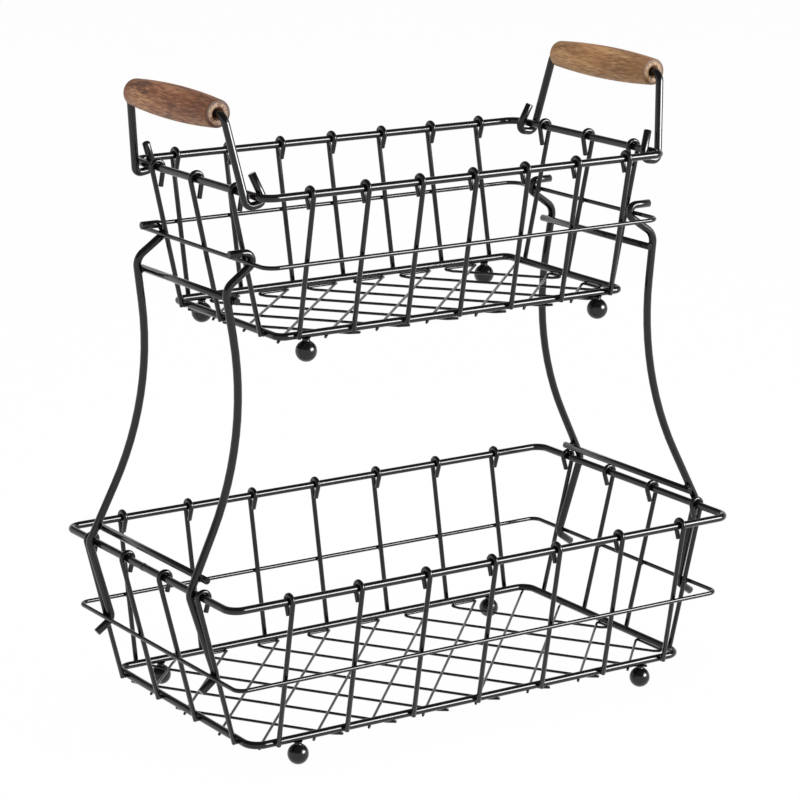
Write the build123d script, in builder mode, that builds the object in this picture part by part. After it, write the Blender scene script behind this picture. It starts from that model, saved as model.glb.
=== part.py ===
from build123d import *

import os
from collections import namedtuple
from itertools import pairwise
from math import asin, atan2, ceil, cos, degrees, hypot, radians, sin, sqrt

# Two-tier wire basket. Two open baskets of bent and welded round wire stand on ball feet, the
# smaller one above the larger. Four hooked uprights carry the upper basket, and a swinging bail
# with a turned wooden grip hangs on each end of its rim.
# The origin is on the table under the middle of the baskets: +X is the right end, +Y the back
# and +Z up. All lengths are in millimetres.

# Wire diameters
rim_wire = 4.5
base_wire = 4.5
hoop_wire = 2.6
wall_wire = 3.0
floor_wire = 1.7
stand_wire = 4.8
bar_wire = 4.2
bail_wire = 4.8

# Gap left between two wires that are welded side by side
weld_gap = 0.05

# Number of flat sides that stand for a round wire where it is repeated many times
wall_sides = 6
floor_sides = 6
heavy_sides = 8

# Lower basket: sizes of the closed loops are those of their centre lines
lower_rim_length = 355.6
lower_rim_width = 201.8
lower_rim_corner = 19.0
lower_base_length = 310.6
lower_base_width = 166.8
lower_base_corner = 14.0
lower_depth = 90.3
lower_hoop_drop = 49.0
lower_hoop_corner = 10.0
lower_side_pitch = 46.6
lower_side_count = 7
lower_end_pitch = 46.0
lower_end_count = 4
lower_end_hook_drop = 8.75
lower_foot_span = 249.0
lower_floor_pitch = 38.25
lower_floor_rise_share = 1.09
lower_floor_run = 19.0

# Upper basket
upper_rim_length = 279.4
upper_rim_width = 156.8
upper_rim_corner = 12.0
upper_base_length = 242.8
upper_base_width = 122.2
upper_base_corner = 12.0
upper_depth = 84.4
upper_hoop_drop = 40.1
upper_hoop_corner = 9.0
upper_side_pitch = 36.8
upper_side_count = 7
upper_end_pitch = 46.5
upper_end_count = 3
upper_end_hook_drop = 11.75
upper_foot_span = 207.0
upper_floor_pitch = 34.3
upper_floor_rise_share = 1.03
upper_floor_run = 20.0

# Wall wires: how far the cut end passes the base frame, and the short inner leg of the hook
wall_tail = 0.7
side_hook_drop = 8.75
hook_chords = 3

# Ball feet
ball = 12.7
foot_stem = 4.6
foot_neck = 1.3

# Height of the upper base frame over the lower one
tier_rise = 234.0

# Uprights
stand_spread_low = 128.7
stand_spread_high = 104.8
stand_tip = 10.3
stand_top_curl = 4.5
stand_top_curl_end = 235.0
stand_shoulder_bend = 9.0
stand_shoulder_out = 13.1
stand_shoulder_drop = 19.7
stand_neck_heading = -98.0
stand_waist_bend = 190.0
stand_flare_heading = -63.5
stand_rim_bend = 8.0
stand_low_curl = 5.5
stand_low_curl_end = 234.0
stand_low_curl_start = 207.0
stand_tail = 9.0

# Cross bars between the two uprights of an end
upper_bar_length = 114.0
upper_bar_drop = 21.2
lower_bar_length = 134.0
lower_bar_lift = 9.0

# Swinging handles: u is outward and v up in the handle's own plane, from the rim wire's axis
bail_lean = 9.0
bail_leg_out = 5.4
bail_eye_inner = 6.6
bail_eye_bottom = 5.4
bail_tip_inner = 2.8
bail_tip_rise = 12.1
bail_spread = 129.0
bail_taper_share = 0.2
bail_grip_height = 46.7
bail_eye_bend = 4.0
bail_corner_bend = 6.5

# Turned wooden grip
grip_length = 98.0
grip_middle = 20.3
grip_end = 16.3
grip_edge = 1.2
grip_fit = 0.1
grip_mouth = 7.6
grip_mouth_depth = 1.4

# Everything that the two baskets are built from alike
Basket = namedtuple(
    "Basket",
    "base_z rim_length rim_width rim_corner base_length base_width base_corner depth "
    "hoop_drop hoop_corner side_pitch side_count end_pitch end_count end_hook_drop "
    "foot_span floor_pitch floor_rise floor_run",
)
foot_height = ball + foot_neck + base_wire / 2
lower = Basket(
    foot_height,
    lower_rim_length,
    lower_rim_width,
    lower_rim_corner,
    lower_base_length,
    lower_base_width,
    lower_base_corner,
    lower_depth,
    lower_hoop_drop,
    lower_hoop_corner,
    lower_side_pitch,
    lower_side_count,
    lower_end_pitch,
    lower_end_count,
    lower_end_hook_drop,
    lower_foot_span,
    lower_floor_pitch,
    lower_floor_rise_share,
    lower_floor_run,
)
upper = Basket(
    foot_height + tier_rise,
    upper_rim_length,
    upper_rim_width,
    upper_rim_corner,
    upper_base_length,
    upper_base_width,
    upper_base_corner,
    upper_depth,
    upper_hoop_drop,
    upper_hoop_corner,
    upper_side_pitch,
    upper_side_count,
    upper_end_pitch,
    upper_end_count,
    upper_end_hook_drop,
    upper_foot_span,
    upper_floor_pitch,
    upper_floor_rise_share,
    upper_floor_run,
)

os.makedirs("parts", exist_ok=True)


# Shared helpers
def lay_wire(points, diameter, place=Plane.XY, bend=None, closed=False, sides=0):
    """Sweeps one wire through its corner points, into the part being built.

    With a bend radius each corner is an arc, without one the corners are mitred. A number of
    sides draws the section as a polygon, and 0 as a circle.
    """
    with BuildLine(place) as route:
        if bend is None:
            Polyline(*points)
        else:
            FilletPolyline(*points, radius=bend, close=closed)
    line = route.wire()
    with BuildSketch(Plane(origin=line @ 0, z_dir=line % 0)) as section:
        if sides:
            RegularPolygon(diameter / 2, sides)
        else:
            Circle(diameter / 2)
    sweep(section.sketch, path=line, transition=Transition.RIGHT)


def lay_loop(length, width, corner, height, diameter, sides=0):
    """Sweeps one closed, level, round-cornered loop of wire."""
    x, y = length / 2, width / 2
    corners = [(-x, -y), (x, -y), (x, y), (-x, y)]
    lay_wire(corners, diameter, Plane.XY.offset(height), corner, True, sides)


def polar(radius, angle):
    """The point at this radius and angle, in degrees from the first axis."""
    return Vector(radius * cos(radians(angle)), radius * sin(radians(angle)))


def meet(run, other):
    """The corner where two straight runs cross, each given as a point and a heading."""
    (p, a), (q, b) = run, other
    d, e = polar(1, a), polar(1, b)
    t = ((q.X - p.X) * e.Y - (q.Y - p.Y) * e.X) / (d.X * e.Y - d.Y * e.X)
    return p + d * t


def spread_out(count, pitch):
    """Evenly spaced places about zero."""
    return [(i - (count - 1) / 2) * pitch for i in range(count)]


def rim_z(basket):
    """Height of the rim's centre line."""
    return basket.base_z + basket.depth


# Wall wires
def wall_run(basket, inset):
    """Reach from rim to base centre, the leg's outward normal angle and the leg's two ends.

    All are in a plane square to the rim, o outward and u up, from the rim's centre. The leg is
    the line that touches the outside of the rim wire and of the base wire.
    """
    reach = hypot(inset, basket.depth)
    at_rim = (rim_wire + wall_wire) / 2 + weld_gap
    at_base = (base_wire + wall_wire) / 2 + weld_gap
    tilt = degrees(asin((at_rim - at_base) / reach))
    normal = degrees(atan2(-inset, basket.depth)) - tilt
    top = polar(at_rim, normal)
    bottom = Vector(-inset, -basket.depth) + polar(at_base, normal)
    return at_rim, normal, top, bottom


def hooked_points(basket, inset, hook_drop):
    """Corner points of one wall wire: cut end, straight leg, hook over the rim, inner leg."""
    at_rim, normal, top, bottom = wall_run(basket, inset)
    down = (bottom - top).normalized()
    turn = (180 - normal) / (hook_chords + 1)
    corner = at_rim / cos(radians(turn / 2))
    over = [polar(corner, normal + (i + 0.5) * turn) for i in range(hook_chords + 1)]
    points = [bottom + down * wall_tail, *over, Vector(-at_rim, -hook_drop)]
    return [(p.X, p.Y) for p in points]


def hoop_setback(basket, inset):
    """How far the hoop's centre line lies inside the rim's, where it touches the wall wires."""
    at_rim, normal, top, bottom = wall_run(basket, inset)
    outer = polar((wall_wire + hoop_wire) / 2 + weld_gap, normal)
    down = (bottom - top).normalized()
    start = top + outer
    return -(start + down * ((-basket.hoop_drop - start.Y) / down.Y)).X


def insets(basket):
    """How far the base frame's ends and sides lie inside the rim's."""
    return (
        (basket.rim_length - basket.base_length) / 2,
        (basket.rim_width - basket.base_width) / 2,
    )


def hoop_size(basket):
    """Length and width of the hoop's centre line."""
    end_inset, side_inset = insets(basket)
    return (
        basket.rim_length - 2 * hoop_setback(basket, end_inset),
        basket.rim_width - 2 * hoop_setback(basket, side_inset),
    )


def lay_side_wires(basket, side):
    """Wall wires of the front (side -1) or back (side 1), hooked over the rim."""
    inset = insets(basket)[1]
    for x in spread_out(basket.side_count, basket.side_pitch):
        place = Plane(
            origin=(x, side * basket.rim_width / 2, rim_z(basket)),
            x_dir=(0, side, 0),
            z_dir=(side, 0, 0),
        )
        points = hooked_points(basket, inset, side_hook_drop)
        lay_wire(points, wall_wire, place, sides=wall_sides)


def lay_end_wires(basket, end):
    """Wall wires of the left (end -1) or right (end 1), hooked over the rim."""
    inset = insets(basket)[0]
    for y in spread_out(basket.end_count, basket.end_pitch):
        place = Plane(
            origin=(end * basket.rim_length / 2, y, rim_z(basket)),
            x_dir=(end, 0, 0),
            z_dir=(0, -end, 0),
        )
        points = hooked_points(basket, inset, basket.end_hook_drop)
        lay_wire(points, wall_wire, place, sides=wall_sides)


# Floor of slanted wires
def lay_floor(basket):
    """Slanted floor wires under the base frame, in two layers that cross.

    One family rises to the right in the upper layer, the other falls to the right in the
    lower one. At the back and the right frame a wire turns in a short run along the frame, from
    one family to the other. At the front and the left frame it is cut off.
    """
    a, b = basket.base_length / 2, basket.base_width / 2
    corner, slope, pitch = basket.base_corner, basket.floor_rise, basket.floor_pitch
    cut = (base_wire - floor_wire) / 2
    high = basket.base_z - (base_wire + floor_wire) / 2 - weld_gap
    low = high - floor_wire - weld_gap
    nip = corner * (1 - cos(radians(45)))
    room = ball / 2 + floor_wire
    foot_x = -basket.foot_span / 2
    floor_offset = 2 * b / slope - basket.floor_run

    def rising_start(k):
        x, y = pitch * k - (b + cut) / slope, slope * (-a - cut - pitch * k)
        if x > corner - a:
            return (x, -b - cut, high)
        if y > corner - b:
            return (-a - cut, y, high)
        x = max(-a, pitch * k - (b - nip) / slope)
        return (x, slope * (x - pitch * k), high)

    def falling_end(crossing):
        x, y = crossing + (b + cut) / slope, slope * (crossing - a)
        if x < a - corner:
            return [(x, -b - cut, low)]
        if y < corner - b:
            x = a - nip
            return [(x, slope * (crossing - x), low)]
        k = ceil((2 * a - crossing) / pitch) - 1
        return [(a, -y if y > 0 else y, low)] if k < 0 else right_turn(crossing, k)

    def right_turn(crossing, k):
        low_y, high_y = slope * (crossing - a), slope * (a - pitch * k)
        return [(a, low_y, low), (a, high_y, high), rising_start(k)]

    first = -int((a - corner + b / slope) / pitch)
    last = int((a - b / slope) / pitch)
    for k in range(first, last + 1):
        top_x = pitch * k + b / slope
        crossing = pitch * k + floor_offset
        turn_x = top_x - basket.floor_run
        falling = falling_end(crossing)
        if turn_x - room < foot_x < top_x:
            ends = [rising_start(k), (top_x, b, high)]
            lay_wire(ends, floor_wire, sides=floor_sides)
            y = b - room
            ends = [(crossing - y / slope, y, low), *falling]
        elif top_x > a - nip:
            x = min(a, pitch * k + (b - nip) / slope)
            ends = [rising_start(k), (x, slope * (x - pitch * k), high)]
        else:
            ends = [rising_start(k), (top_x, b, high), (turn_x, b, low), *falling]
        lay_wire(ends, floor_wire, sides=floor_sides)
    crossing = pitch * (first - 1) + floor_offset
    while slope * (a + cut + crossing) > corner - b:
        start = (-a - cut, slope * (a + cut + crossing), low)
        lay_wire([start, *falling_end(crossing)], floor_wire, sides=floor_sides)
        crossing -= pitch


# Ball feet
def lay_feet(basket):
    """Four balls under the base frame, each on a short stem."""
    under = basket.base_z - base_wire / 2 - weld_gap
    centre = basket.base_z - foot_height + ball / 2
    lowest = centre - ball / 2
    stem = foot_stem / 2
    join = centre + sqrt((ball / 2) ** 2 - stem**2)
    for x in (-basket.foot_span / 2, basket.foot_span / 2):
        for y in (-basket.base_width / 2, basket.base_width / 2):
            cross_section = Plane(origin=(x, y, 0), x_dir=(1, 0, 0), z_dir=(0, -1, 0))
            with BuildSketch(cross_section) as profile:
                with BuildLine():
                    ThreePointArc((0, lowest), (ball / 2, centre), (stem, join))
                    Polyline((stem, join), (stem, under), (0, under), (0, lowest))
                make_face()
            revolve(profile.sketch, axis=Axis((x, y, 0), (0, 0, 1)))


# Uprights
def upright_points():
    """Corner points of one upright with the bend at each, x outward and z up.

    Its straight runs are tangent to four circles: the curl over the upper hoop, the shoulder,
    the bend round the lower rim and the curl under the lower hoop.
    """
    half = stand_wire / 2
    to_hoop = (hoop_wire + stand_wire) / 2 + weld_gap
    high_hoop = Vector(hoop_size(upper)[0] / 2, rim_z(upper) - upper.hoop_drop)
    low_hoop = Vector(hoop_size(lower)[0] / 2, rim_z(lower) - lower.hoop_drop)
    top = high_hoop - polar(stand_top_curl - to_hoop, stand_top_curl_end)
    rim_x = lower.rim_length / 2 + rim_wire / 2 + weld_gap + half
    rim = Vector(rim_x - stand_rim_bend, rim_z(lower))
    low = low_hoop - polar(stand_low_curl - to_hoop, stand_low_curl_start)
    shoulder = high_hoop + Vector(stand_shoulder_out, -stand_shoulder_drop)
    gap = low - rim
    cross = degrees(asin((stand_rim_bend + stand_low_curl) / gap.length))
    leg_heading = degrees(atan2(gap.Y, gap.X)) - cross
    runs = [
        (top + polar(stand_top_curl, 90), 180),
        (top + polar(stand_top_curl, stand_top_curl_end), stand_top_curl_end + 90),
        (shoulder, stand_neck_heading),
        (rim + polar(stand_rim_bend, stand_flare_heading + 90), stand_flare_heading),
        (rim + polar(stand_rim_bend, leg_heading + 90), leg_heading),
        (low + polar(stand_low_curl, stand_low_curl_end), stand_low_curl_end + 90),
    ]
    corners = [meet(run, other) for run, other in pairwise(runs)]
    tip = top + Vector(stand_tip, stand_top_curl)
    tail = runs[-1][0] + polar(stand_tail, runs[-1][1])
    bends = [stand_top_curl, stand_shoulder_bend, stand_waist_bend, stand_rim_bend, stand_low_curl]
    return [tip, *corners, tail], bends, runs


def lean():
    """Share by which the uprights of one end lean together, and |y| on the table."""
    high = rim_z(upper) - upper.hoop_drop
    low = rim_z(lower) - lower.hoop_drop
    share = (stand_spread_low - stand_spread_high) / 2 / (high - low)
    return share, stand_spread_low / 2 + share * low


def lay_upright(end, side):
    """One upright at the left or right end, on the front or back side."""
    share, foot = lean()
    stretch = sqrt(1 + share**2)
    points, bends, _ = upright_points()
    place = Plane(
        origin=(0, side * foot, 0),
        x_dir=(end, 0, 0),
        z_dir=(0, -end, -end * side * share),
    )
    lay_wire(
        [(p.X, p.Y * stretch) for p in points],
        stand_wire,
        place,
        bend=bends,
        sides=heavy_sides,
    )


# Cross bars
def lay_bar(end, run, height, length):
    """One bar along Y, on the basket side of the uprights' straight run at this height."""
    point, heading = run
    beside = (stand_wire + bar_wire) / 2 + weld_gap
    centre = meet((point + polar(beside, heading - 90), heading), (Vector(0, height), 0))
    start = Plane(
        origin=(end * centre.X, -length / 2, height), x_dir=(1, 0, 0), z_dir=(0, 1, 0)
    )
    with BuildSketch(start) as section:
        RegularPolygon(bar_wire / 2, heavy_sides)
    extrude(section.sketch, amount=length)


# Handles
def handle_place(end):
    """The handle's own frame at rest: u outward, y along the rim, v up, leaning outward."""
    out, up = cos(radians(bail_lean)), sin(radians(bail_lean))
    return Plane(
        origin=(end * upper.rim_length / 2, 0, rim_z(upper)),
        x_dir=(end * out, 0, -up),
        z_dir=(end * up, 0, out),
    )


def lay_bail(end):
    """One bail: an open hook round the rim on each leg, and a straight bar for the grip."""
    profile = [
        (-bail_tip_inner, bail_tip_rise),
        (-bail_eye_inner, -bail_eye_bottom),
        (bail_leg_out, -bail_eye_bottom),
        (bail_leg_out, bail_grip_height),
    ]
    legs = [(u, bail_spread / 2 - bail_taper_share * v, v) for u, v in profile]
    points = [(u, -y, v) for u, y, v in legs] + legs[::-1]
    bends = [bail_eye_bend] * 2 + [bail_corner_bend] * 2 + [bail_eye_bend] * 2
    lay_wire(points, bail_wire, handle_place(end), bend=bends, sides=heavy_sides)


def lay_grip(end):
    """One turned barrel, bored for the bail's bar and countersunk at both mouths."""
    frame = handle_place(end)
    centre = frame.origin + frame.x_dir * bail_leg_out + frame.z_dir * bail_grip_height
    half, bore = grip_length / 2, bail_wire / 2 + grip_fit
    with BuildSketch(Plane(origin=centre, x_dir=(0, 1, 0), z_dir=(1, 0, 0))) as profile:
        with BuildLine():
            ends = half - grip_edge
            ThreePointArc((-ends, grip_end / 2), (0, grip_middle / 2), (ends, grip_end / 2))
            Polyline(
                (ends, grip_end / 2),
                (half, grip_end / 2 - grip_edge),
                (half, grip_mouth / 2),
                (half - grip_mouth_depth, bore),
                (grip_mouth_depth - half, bore),
                (-half, grip_mouth / 2),
                (-half, grip_end / 2 - grip_edge),
                (-ends, grip_end / 2),
            )
        make_face()
    revolve(profile.sketch, axis=Axis(centre, (0, 1, 0)))


# Lower basket
with BuildPart() as lower_rim:
    lay_loop(lower.rim_length, lower.rim_width, lower.rim_corner, rim_z(lower), rim_wire, heavy_sides)
lower_rim.part.label = "lower_rim"
export_step(lower_rim.part, "parts/lower_rim.step")

with BuildPart() as lower_hoop:
    lay_loop(*hoop_size(lower), lower.hoop_corner, rim_z(lower) - lower.hoop_drop, hoop_wire, wall_sides)
lower_hoop.part.label = "lower_hoop"
export_step(lower_hoop.part, "parts/lower_hoop.step")

with BuildPart() as lower_base_frame:
    lay_loop(lower.base_length, lower.base_width, lower.base_corner, lower.base_z, base_wire, heavy_sides)
lower_base_frame.part.label = "lower_base_frame"
export_step(lower_base_frame.part, "parts/lower_base_frame.step")

with BuildPart() as lower_front_wires:
    lay_side_wires(lower, -1)
lower_front_wires.part.label = "lower_front_wires"
export_step(lower_front_wires.part, "parts/lower_front_wires.step")

with BuildPart() as lower_back_wires:
    lay_side_wires(lower, 1)
lower_back_wires.part.label = "lower_back_wires"
export_step(lower_back_wires.part, "parts/lower_back_wires.step")

with BuildPart() as lower_left_wires:
    lay_end_wires(lower, -1)
lower_left_wires.part.label = "lower_left_wires"
export_step(lower_left_wires.part, "parts/lower_left_wires.step")

with BuildPart() as lower_right_wires:
    lay_end_wires(lower, 1)
lower_right_wires.part.label = "lower_right_wires"
export_step(lower_right_wires.part, "parts/lower_right_wires.step")

with BuildPart() as lower_floor:
    lay_floor(lower)
lower_floor.part.label = "lower_floor"
export_step(lower_floor.part, "parts/lower_floor.step")

with BuildPart() as lower_feet:
    lay_feet(lower)
lower_feet.part.label = "lower_feet"
export_step(lower_feet.part, "parts/lower_feet.step")

# Upper basket
with BuildPart() as upper_rim:
    lay_loop(upper.rim_length, upper.rim_width, upper.rim_corner, rim_z(upper), rim_wire, heavy_sides)
upper_rim.part.label = "upper_rim"
export_step(upper_rim.part, "parts/upper_rim.step")

with BuildPart() as upper_hoop:
    lay_loop(*hoop_size(upper), upper.hoop_corner, rim_z(upper) - upper.hoop_drop, hoop_wire, wall_sides)
upper_hoop.part.label = "upper_hoop"
export_step(upper_hoop.part, "parts/upper_hoop.step")

with BuildPart() as upper_base_frame:
    lay_loop(upper.base_length, upper.base_width, upper.base_corner, upper.base_z, base_wire, heavy_sides)
upper_base_frame.part.label = "upper_base_frame"
export_step(upper_base_frame.part, "parts/upper_base_frame.step")

with BuildPart() as upper_front_wires:
    lay_side_wires(upper, -1)
upper_front_wires.part.label = "upper_front_wires"
export_step(upper_front_wires.part, "parts/upper_front_wires.step")

with BuildPart() as upper_back_wires:
    lay_side_wires(upper, 1)
upper_back_wires.part.label = "upper_back_wires"
export_step(upper_back_wires.part, "parts/upper_back_wires.step")

with BuildPart() as upper_left_wires:
    lay_end_wires(upper, -1)
upper_left_wires.part.label = "upper_left_wires"
export_step(upper_left_wires.part, "parts/upper_left_wires.step")

with BuildPart() as upper_right_wires:
    lay_end_wires(upper, 1)
upper_right_wires.part.label = "upper_right_wires"
export_step(upper_right_wires.part, "parts/upper_right_wires.step")

with BuildPart() as upper_floor:
    lay_floor(upper)
upper_floor.part.label = "upper_floor"
export_step(upper_floor.part, "parts/upper_floor.step")

with BuildPart() as upper_feet:
    lay_feet(upper)
upper_feet.part.label = "upper_feet"
export_step(upper_feet.part, "parts/upper_feet.step")

# Uprights
for end_name, end in (("left", -1), ("right", 1)):
    for side_name, side in (("front", -1), ("back", 1)):
        with BuildPart() as upright:
            lay_upright(end, side)
        upright.part.label = f"{end_name}_{side_name}_upright"
        export_step(upright.part, f"parts/{end_name}_{side_name}_upright.step")

# Cross bars
_, _, stand_runs = upright_points()
neck_run, flare_run = stand_runs[2], stand_runs[3]
upper_bar_z = rim_z(upper) - upper.hoop_drop - upper_bar_drop
lower_bar_z = rim_z(lower) + lower_bar_lift
for end_name, end in (("left", -1), ("right", 1)):
    with BuildPart() as upper_bar:
        lay_bar(end, neck_run, upper_bar_z, upper_bar_length)
    upper_bar.part.label = f"{end_name}_upper_bar"
    export_step(upper_bar.part, f"parts/{end_name}_upper_bar.step")

    with BuildPart() as lower_bar:
        lay_bar(end, flare_run, lower_bar_z, lower_bar_length)
    lower_bar.part.label = f"{end_name}_lower_bar"
    export_step(lower_bar.part, f"parts/{end_name}_lower_bar.step")

# Handles
for end_name, end in (("left", -1), ("right", 1)):
    with BuildPart() as bail:
        lay_bail(end)
    bail.part.label = f"{end_name}_bail"
    export_step(bail.part, f"parts/{end_name}_bail.step")

    with BuildPart() as grip:
        lay_grip(end)
    grip.part.label = f"{end_name}_grip"
    export_step(grip.part, f"parts/{end_name}_grip.step")
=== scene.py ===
# %% [markdown]
# # A two-tier wire basket
# Two open baskets of round steel wire stand one above the other. Four hooked uprights join
# them, and a swinging bail with a turned wooden grip hangs on each end of the upper one.
# Every part of it is either a wire or a turned piece of wood, so nearly every surface here is
# one idea: a circle carried along a bent path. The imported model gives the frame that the
# pieces must fit: +X is the right end, +Y the back, +Z up, and the origin is on the table.

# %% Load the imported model
from collections import namedtuple
import bpy
import numpy as np
from mathutils import Euler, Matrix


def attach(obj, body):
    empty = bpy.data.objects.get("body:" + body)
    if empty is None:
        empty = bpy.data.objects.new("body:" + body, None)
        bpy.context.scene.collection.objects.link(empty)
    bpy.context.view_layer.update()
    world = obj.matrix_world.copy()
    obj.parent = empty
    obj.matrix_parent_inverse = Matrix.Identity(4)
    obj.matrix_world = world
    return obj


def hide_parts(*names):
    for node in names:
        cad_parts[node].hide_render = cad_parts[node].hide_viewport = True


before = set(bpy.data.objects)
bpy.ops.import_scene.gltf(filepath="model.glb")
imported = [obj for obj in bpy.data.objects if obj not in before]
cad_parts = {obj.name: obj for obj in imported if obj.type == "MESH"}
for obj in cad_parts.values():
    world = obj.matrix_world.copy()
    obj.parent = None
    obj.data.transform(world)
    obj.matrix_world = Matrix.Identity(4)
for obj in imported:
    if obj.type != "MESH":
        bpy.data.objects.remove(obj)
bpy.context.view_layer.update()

# %% [markdown]
# ## Sizes
# The sizes are those of the solid model, in millimetres, so that each smooth wire lies where
# its solid is. A wire basket is described by the centre lines of its loops and the diameters
# of its wires. The foot, a half-inch ball, set the scale of all the others. The corners of the
# loops are bent tighter here than in the solids, as the picture shows them.

# %% Wire diameters and the small sizes that all pieces share
MM = 0.001
RIM_WIRE, BASE_WIRE, HOOP_WIRE, WALL_WIRE, FLOOR_WIRE = 4.5, 4.5, 2.6, 3.0, 1.7
STAND_WIRE, BAR_WIRE, BAIL_WIRE = 4.8, 4.2, 4.8
HEAVY_SIDES, HOOP_SIDES, WALL_SIDES, FLOOR_SIDES = 24, 16, 14, 10
WELD_GAP = 0.05
BALL, FOOT_NECK = 12.7, 1.3
FOOT_HEIGHT = BALL + FOOT_NECK + BASE_WIRE / 2
TIER_RISE = 234.0
UP = (0, 0, 1)
print("foot height", FOOT_HEIGHT, "mm")

# %% The two baskets
Basket = namedtuple(
    "Basket",
    "name base_z rim_length rim_width rim_corner base_length base_width base_corner depth "
    "hoop_drop hoop_corner side_pitch side_count end_pitch end_count end_hook_drop foot_span",
)
LOWER = Basket(
    name="lower", base_z=FOOT_HEIGHT, rim_length=355.6, rim_width=201.8, rim_corner=8.0,
    base_length=310.6, base_width=166.8, base_corner=9.0, depth=90.3, hoop_drop=49.0,
    hoop_corner=6.0, side_pitch=46.6, side_count=7, end_pitch=46.0, end_count=4,
    end_hook_drop=8.75, foot_span=249.0,
)
UPPER = Basket(
    name="upper", base_z=FOOT_HEIGHT + TIER_RISE, rim_length=279.4, rim_width=156.8, rim_corner=8.5,
    base_length=242.8, base_width=122.2, base_corner=5.5, depth=84.4, hoop_drop=40.1,
    hoop_corner=8.0, side_pitch=36.8, side_count=7, end_pitch=46.5, end_count=3,
    end_hook_drop=11.75, foot_span=207.0,
)
for basket in (LOWER, UPPER):
    print(basket.name, "rim centre line", basket.rim_length, "x", basket.rim_width, "mm")

# %% [markdown]
# ## From bent wire to surface
# A wire former bends straight stock round pins, so the centre line of a wire is straight runs
# joined by circular arcs. Blender could bevel a curve object into a tube, but its arcs would
# be handles to tune. Here the arcs are worked out from the bend radius, as a shop would.

# %% Bent centre lines
def unit(v):
    """Each vector divided by its own length."""
    return v / np.linalg.norm(v, axis=-1, keepdims=True)


def bent(corners, bends, steps, closed=False):
    """The centre line through corner points, with an arc of the given radius at each corner.

    Where the wire comes in along d and leaves at an angle t to it, the arc begins r tan(t/2)
    before the corner and runs as r (d sin(s) + n (1 - cos(s))), with s from 0 to t and n the
    direction square to d on the side of the bend.
    """
    corners = np.asarray(corners, float)
    if closed:
        before, turn, after = np.roll(corners, 1, 0), corners, np.roll(corners, -1, 0)
    else:
        before, turn, after = corners[:-2], corners[1:-1], corners[2:]
    into, out = unit(turn - before), unit(after - turn)
    cosine = np.clip((into * out).sum(1), -1, 1)[:, None]
    angle = np.arccos(cosine)
    aside = unit(out - into * cosine)
    radius = np.broadcast_to(np.asarray(bends, float), len(turn))[:, None]
    begin = turn - into * radius * np.tan(angle / 2)
    s = np.linspace(0, 1, steps)[:, None] * angle[:, None]
    arcs = begin[:, None] + radius[:, None] * (
        into[:, None] * np.sin(s) + aside[:, None] * (1 - np.cos(s))
    )
    arcs = arcs.reshape(-1, 3)
    return arcs if closed else np.vstack([corners[:1], arcs, corners[-1:]])


LOOP_STEPS = 13


def loop_line(length, width, corner, height):
    """A level rectangle with rounded corners, centred on the origin."""
    x, y = length / 2, width / 2
    corners = [(-x, -y, height), (x, -y, height), (x, y, height), (-x, y, height)]
    return bent(corners, corner, LOOP_STEPS, True)


rim_line = loop_line(LOWER.rim_length, LOWER.rim_width, LOWER.rim_corner, 0.0)
print("the lower rim's centre line has", len(rim_line), "points")

# %% [markdown]
# ## One skin for every wire
# The surface of a wire is a function of two parameters: how far along the centre line, and the
# angle round it. A fixed direction that the wire never runs along keeps the rings from
# twisting. Cut ends are flat with a narrow bevel, as a shear and a tumbling drum leave them.

# %% Skins
Skin = namedtuple("Skin", "points quads caps")
CUT_BEVEL = 0.3


def grid_faces(rings, sides, closed):
    """Quads between ring i and i + 1, wound so that they face away from the centre line."""
    i = np.arange(rings if closed else rings - 1)[:, None]
    j = np.arange(sides)[None, :]
    here, there = i * sides, ((i + 1) % rings) * sides
    quads = np.stack([here + j, here + (j + 1) % sides, there + (j + 1) % sides, there + j], -1)
    return quads.reshape(-1, 4)


def wire_skin(line, diameter, across, sides, closed=False):
    """P(s, a) = line(s) + r(s) (e(s) cos(a) + f(s) sin(a)).

    e is square to the wire and to the direction across, f is square to both, and r is the
    wire's radius, less at the bevel of each cut end.
    """
    if closed:
        chords = unit(np.roll(line, -1, 0) - line)
        heading = unit(chords + np.roll(chords, 1, 0))
        radius = np.full(len(line), diameter / 2)
    else:
        first, last = unit(line[1] - line[0]), unit(line[-1] - line[-2])
        line = np.vstack([line[:1], line[:1] + first * CUT_BEVEL, line[1:-1],
                          line[-1:] - last * CUT_BEVEL, line[-1:]])
        chords = unit(np.diff(line, axis=0))
        heading = unit(np.vstack([chords[:1], chords[:-1] + chords[1:], chords[-1:]]))
        radius = np.full(len(line), diameter / 2)
        radius[[0, -1]] -= CUT_BEVEL
    e = unit(np.cross(np.asarray(across, float), heading))
    f = np.cross(heading, e)
    a = np.linspace(0, 2 * np.pi, sides, endpoint=False)[None, :, None]
    ring = e[:, None] * np.cos(a) + f[:, None] * np.sin(a)
    points = line[:, None] + radius[:, None, None] * ring
    quads = grid_faces(len(line), sides, closed)
    start, end = np.arange(sides)[::-1], np.arange(sides) + (len(line) - 1) * sides
    return Skin(points.reshape(-1, 3), quads, [] if closed else [start, end])


print("the lower rim's skin has", len(wire_skin(rim_line, RIM_WIRE, UP, HEAVY_SIDES, True).quads), "quads")

# %% [markdown]
# ## Welds
# Wires that cross are resistance welded: they are pressed together and melt into each other
# where they touch, and the powder coat then fills the crevice round the spot. What shows is a
# small smooth swelling. A flattened ball at each touching point gives it.

# %% Weld beads
WELD_WIDTH, WELD_THICKNESS = 3.2, 1.5
WELD_RINGS, WELD_SIDES, WELD_POLE = 6, 10, 0.12
SKEW = (0.31, 0.52, 0.8)


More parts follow.
